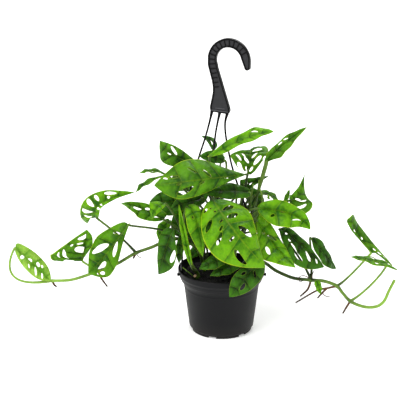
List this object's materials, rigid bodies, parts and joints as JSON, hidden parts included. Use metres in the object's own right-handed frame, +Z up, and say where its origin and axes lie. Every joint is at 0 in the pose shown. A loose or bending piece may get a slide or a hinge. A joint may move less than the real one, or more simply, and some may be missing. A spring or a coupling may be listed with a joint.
{
  "type": "potted swiss cheese vine",
  "caption": "Potted trailing vine with long, holed, pointed leaves in a tapered hanging nursery pot, with a hooked hanger on three strands.",
  "frame": {"origin": "the point at the top of the hook's eye where it bears on a rail", "axes": "+Z up; +X along the right-hand vine, as seen from the front; +Y from the front of the plant to its back"},
  "size_m": [0.6576, 0.215, 0.509],
  "materials": {
    "pot_plastic": "moulded, matt charcoal",
    "hanger_plastic": "moulded, satin black",
    "potting_soil": "moist peat and bark crumb",
    "stalk": "smooth green stalk",
    "leaf_bright": "young waxy leaf",
    "leaf_mid": "waxy leaf",
    "leaf_dark": "old waxy leaf"
  },
  "bodies": {
    "root": {"pot": "pot_plastic", "soil": "potting_soil", "hanger": "hanger_plastic", "stem_middle": "stalk", "stem_back": "stalk", "stem_front": "stalk", "vine_left": "stalk", "vine_right": "stalk", "leaf_crown_wide": "leaf_mid", "leaf_front_large": "leaf_bright", "leaf_front_hanging": "leaf_bright", "leaf_front_sheath": "leaf_bright", "leaf_right_dark": "leaf_mid", "leaf_right_bright": "leaf_bright", "leaf_top_long": "leaf_bright", "leaf_top_right": "leaf_mid", "leaf_top_fan": "leaf_mid", "leaf_top_left": "leaf_mid", "leaf_top_small": "leaf_dark", "leaf_left_narrow_a": "leaf_mid", "leaf_left_narrow_b": "leaf_mid", "leaf_left_mid": "leaf_mid", "leaf_left_curled": "leaf_bright", "leaf_left_back": "leaf_dark", "leaf_left_shade": "leaf_dark", "leaf_left_hanging": "leaf_dark", "leaf_left_young": "leaf_bright", "leaf_inner_left": "leaf_dark", "leaf_inner_top": "leaf_dark", "leaf_inner_front": "leaf_dark", "leaf_inner_back": "leaf_dark", "leaf_back_hanging": "leaf_mid", "leaf_back_left": "leaf_mid", "leaf_back_middle": "leaf_dark", "leaf_back_low_right": "leaf_dark", "leaf_back_low_left": "leaf_mid", "leaf_soil_left": "leaf_dark", "leaf_soil_right": "leaf_dark", "leaf_rim_front": "leaf_dark", "leaf_right_split": "leaf_dark", "leaf_right_behind": "leaf_dark", "leaf_right_sheath": "leaf_bright", "leaf_upper_right": "leaf_mid", "leaf_upper_slim": "leaf_mid", "leaf_right_shade": "leaf_dark", "leaf_middle_right": "leaf_mid", "leaf_middle_dark": "leaf_dark", "leaf_neck": "leaf_dark", "leaf_crown_shade": "leaf_dark", "leaf_right_inner": "leaf_dark", "leaf_inner_gap": "leaf_dark", "leaf_rim_left": "leaf_dark", "leaf_inner_low": "leaf_dark", "leaf_vine_left_1": "leaf_mid", "leaf_vine_left_2": "leaf_bright", "leaf_vine_left_3": "leaf_mid", "leaf_vine_left_4": "leaf_bright", "leaf_vine_right_1": "leaf_mid", "leaf_vine_right_2": "leaf_mid"}
  },
  "joints": []
}
